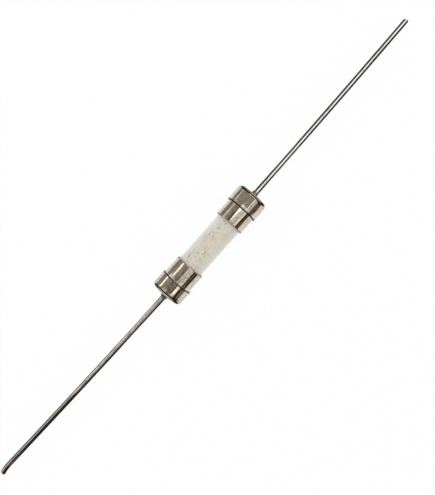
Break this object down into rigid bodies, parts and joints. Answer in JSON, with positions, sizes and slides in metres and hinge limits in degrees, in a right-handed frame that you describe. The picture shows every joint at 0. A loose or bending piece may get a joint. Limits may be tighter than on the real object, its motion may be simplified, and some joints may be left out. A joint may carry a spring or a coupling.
{
  "type": "ceramic axial lead fuse",
  "caption": "Sand-filled ceramic cartridge fuse with nickel-plated end caps and pressed-on lead caps that each hold a soldered axial wire, for mounting on a circuit board",
  "frame": {"origin": "middle of the fuse's body, on its axis", "axes": "+X runs along the fuse towards its right lead, +Z points away from the board that it lies on, and both lead tips have drifted slightly towards +Y"},
  "size_m": [0.0999, 0.0056, 0.0056],
  "materials": {
    "ceramic": "unglazed cream steatite, matte, with faint grey and olive mottling",
    "quartz_sand": "packed fine quartz sand, hidden inside the tube",
    "silvered_copper": "silver-plated copper wire, hidden inside the tube",
    "nickel_plate": "nickel-plated drawn brass, bright with fine drawing marks, slightly warm",
    "solder": "soft solder, satin grey",
    "tinned_copper": "tinned copper wire, bright grey, with fine draw lines"
  },
  "bodies": {
    "root": {"ceramic_tube": "ceramic", "quartz_filler": "quartz_sand", "fuse_element": "silvered_copper", "end_cap_left": "nickel_plate", "end_cap_right": "nickel_plate", "lead_cap_left": "nickel_plate", "lead_cap_right": "nickel_plate", "element_solder_left": "solder", "element_solder_right": "solder", "bed_solder_left": "solder", "bed_solder_right": "solder", "root_solder_left": "solder", "root_solder_right": "solder", "lead_left": "tinned_copper", "lead_right": "tinned_copper"}
  },
  "joints": []
}
